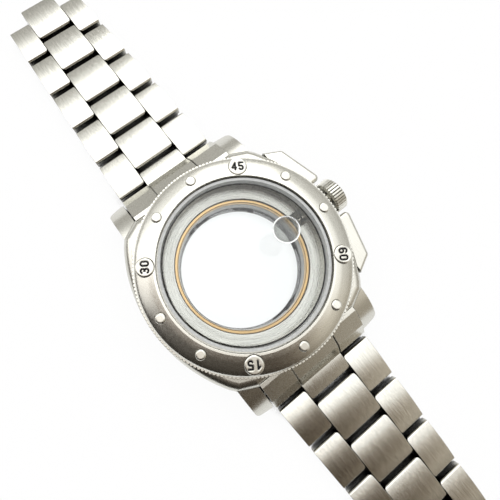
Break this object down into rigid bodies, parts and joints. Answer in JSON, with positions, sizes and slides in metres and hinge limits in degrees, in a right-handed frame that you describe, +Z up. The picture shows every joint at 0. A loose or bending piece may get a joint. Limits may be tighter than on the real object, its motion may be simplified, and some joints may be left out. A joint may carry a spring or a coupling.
{
  "type": "empty watch case",
  "caption": "Steel diving watch case with a turning studded bezel, crown, see-through back and jointed bracelet; the movement and dial space is empty.",
  "frame": {"origin": "centre of the case back's resting face, on the axis of the bezel and movement", "axes": "+Z up through the crystal, +Y towards 12 o'clock along the bracelet, +X towards the crown"},
  "size_m": [0.0481, 0.1944, 0.013],
  "materials": {
    "case_steel": "satin",
    "bezel_steel": "fine satin",
    "ring_steel": "turned, satin",
    "crown_steel": "fluted, satin",
    "stud_steel": "polished edge",
    "link_steel": "lengthwise brushed",
    "inner_steel": "plain",
    "clasp_steel": "brushed sheet",
    "gold": "polished gilt",
    "black_lacquer": "filled black",
    "clear_glass": "clear, polished",
    "back_glass": "clear, faint teal",
    "black_gasket": "moulded"
  },
  "bodies": {
    "case": {"mid_case": "case_steel", "crystal": "clear_glass", "crystal_gasket": "black_gasket", "magnifier_lens": "clear_glass", "movement_ring": "ring_steel", "gold_seat_ring": "gold", "crown_tube": "inner_steel", "end_link_upper": "link_steel", "end_link_lower": "link_steel", "spring_bars": "inner_steel", "bezel_retaining_wire": "inner_steel", "bezel_click_spring": "inner_steel", "bezel_gasket": "black_gasket"},
    "case_back": {"case_back": "case_steel", "back_glass": "back_glass", "back_glass_gasket": "black_gasket", "case_back_seal": "black_gasket"},
    "bezel": {"bezel": "bezel_steel", "bezel_numerals": "black_lacquer", "bezel_numbered_studs": "stud_steel", "bezel_plain_studs": "stud_steel"},
    "crown_post": {"crown_post": "inner_steel"},
    "crown": {"crown": "crown_steel", "crown_gasket": "black_gasket"},
    "upper_link_1": {"upper_link_1_sides": "link_steel", "upper_link_1_centre": "link_steel", "upper_link_1_pins": "inner_steel"},
    "upper_link_2": {"upper_link_2_sides": "link_steel", "upper_link_2_centre": "link_steel", "upper_link_2_pins": "inner_steel"},
    "upper_link_3": {"upper_link_3_sides": "link_steel", "upper_link_3_centre": "link_steel", "upper_link_3_pins": "inner_steel"},
    "upper_link_4": {"upper_link_4_sides": "link_steel", "upper_link_4_centre": "link_steel", "upper_link_4_pins": "inner_steel"},
    "upper_link_5": {"upper_link_5_sides": "link_steel", "upper_link_5_centre": "link_steel", "upper_link_5_pins": "inner_steel"},
    "lower_link_1": {"lower_link_1_sides": "link_steel", "lower_link_1_centre": "link_steel", "lower_link_1_pins": "inner_steel"},
    "lower_link_2": {"lower_link_2_sides": "link_steel", "lower_link_2_centre": "link_steel", "lower_link_2_pins": "inner_steel"},
    "lower_link_3": {"lower_link_3_sides": "link_steel", "lower_link_3_centre": "link_steel", "lower_link_3_pins": "inner_steel"},
    "lower_link_4": {"lower_link_4_sides": "link_steel", "lower_link_4_centre": "link_steel", "lower_link_4_pins": "inner_steel"},
    "clasp_end": {"clasp_end_piece": "link_steel", "clasp_end_pin": "inner_steel", "clasp_spring_bar": "inner_steel"},
    "clasp_cover": {"clasp_cover": "link_steel", "clasp_outer_pin": "inner_steel"},
    "clasp_long_blade": {"clasp_blade_long": "clasp_steel"},
    "clasp_short_blade": {"clasp_blade_short": "clasp_steel", "clasp_inner_pin": "inner_steel"}
  },
  "joints": [
    {"name": "bezel_turn", "type": "hinge", "parent": "case", "child": "bezel", "pos_m": [0, 0, 0.011], "axis": [0, 0, 1], "continuous": true},
    {"name": "case_back_off", "type": "slide", "parent": "case", "child": "case_back", "axis": [0, 0, -1], "range_m": [0, 0.008]},
    {"name": "crown_pull", "type": "slide", "parent": "case", "child": "crown_post", "axis": [1, 0, 0], "range_m": [0, 0.0016]},
    {"name": "crown_turn", "type": "hinge", "parent": "crown_post", "child": "crown", "pos_m": [0.024, 0, 0.0063], "axis": [1, 0, 0], "continuous": true},
    {"name": "upper_link_1_bend", "type": "hinge", "parent": "case", "child": "upper_link_1", "pos_m": [0, 0.02885, 0.0016], "axis": [-1, 0, 0], "range_deg": [-10, 36]},
    {"name": "upper_link_2_bend", "type": "hinge", "parent": "upper_link_1", "child": "upper_link_2", "pos_m": [0, 0.03885, 0.0016], "axis": [-1, 0, 0], "range_deg": [-10, 36]},
    {"name": "upper_link_3_bend", "type": "hinge", "parent": "upper_link_2", "child": "upper_link_3", "pos_m": [0, 0.04885, 0.0016], "axis": [-1, 0, 0], "range_deg": [-10, 36]},
    {"name": "upper_link_4_bend", "type": "hinge", "parent": "upper_link_3", "child": "upper_link_4", "pos_m": [0, 0.05885, 0.0016], "axis": [-1, 0, 0], "range_deg": [-10, 36]},
    {"name": "upper_link_5_bend", "type": "hinge", "parent": "upper_link_4", "child": "upper_link_5", "pos_m": [0, 0.06885, 0.0016], "axis": [-1, 0, 0], "range_deg": [-10, 36]},
    {"name": "lower_link_1_bend", "type": "hinge", "parent": "case", "child": "lower_link_1", "pos_m": [0, -0.02885, 0.0016], "axis": [1, 0, 0], "range_deg": [-10, 36]},
    {"name": "lower_link_2_bend", "type": "hinge", "parent": "lower_link_1", "child": "lower_link_2", "pos_m": [0, -0.03885, 0.0016], "axis": [1, 0, 0], "range_deg": [-10, 36]},
    {"name": "lower_link_3_bend", "type": "hinge", "parent": "lower_link_2", "child": "lower_link_3", "pos_m": [0, -0.04885, 0.0016], "axis": [1, 0, 0], "range_deg": [-10, 36]},
    {"name": "lower_link_4_bend", "type": "hinge", "parent": "lower_link_3", "child": "lower_link_4", "pos_m": [0, -0.05885, 0.0016], "axis": [1, 0, 0], "range_deg": [-10, 36]},
    {"name": "clasp_end_bend", "type": "hinge", "parent": "lower_link_4", "child": "clasp_end", "pos_m": [0, -0.06885, 0.0016], "axis": [1, 0, 0], "range_deg": [-10, 36]},
    {"name": "clasp_cover_swing", "type": "hinge", "parent": "clasp_end", "child": "clasp_cover", "pos_m": [0, -0.07605, 0.0016], "axis": [-1, 0, 0], "range_deg": [-45, 10]},
    {"name": "clasp_outer_fold", "type": "hinge", "parent": "clasp_cover", "child": "clasp_long_blade", "pos_m": [0, -0.1077, 0.0023], "axis": [1, 0, 0], "range_deg": [-150, 0]},
    {"name": "clasp_inner_fold", "type": "hinge", "parent": "clasp_long_blade", "child": "clasp_short_blade", "pos_m": [0, -0.08065, 0.0012], "axis": [-1, 0, 0], "range_deg": [-150, 0]}
  ],
  "couplings": [
    {"joint": "clasp_inner_fold", "follows": "clasp_outer_fold", "ratio": 1}
  ]
}
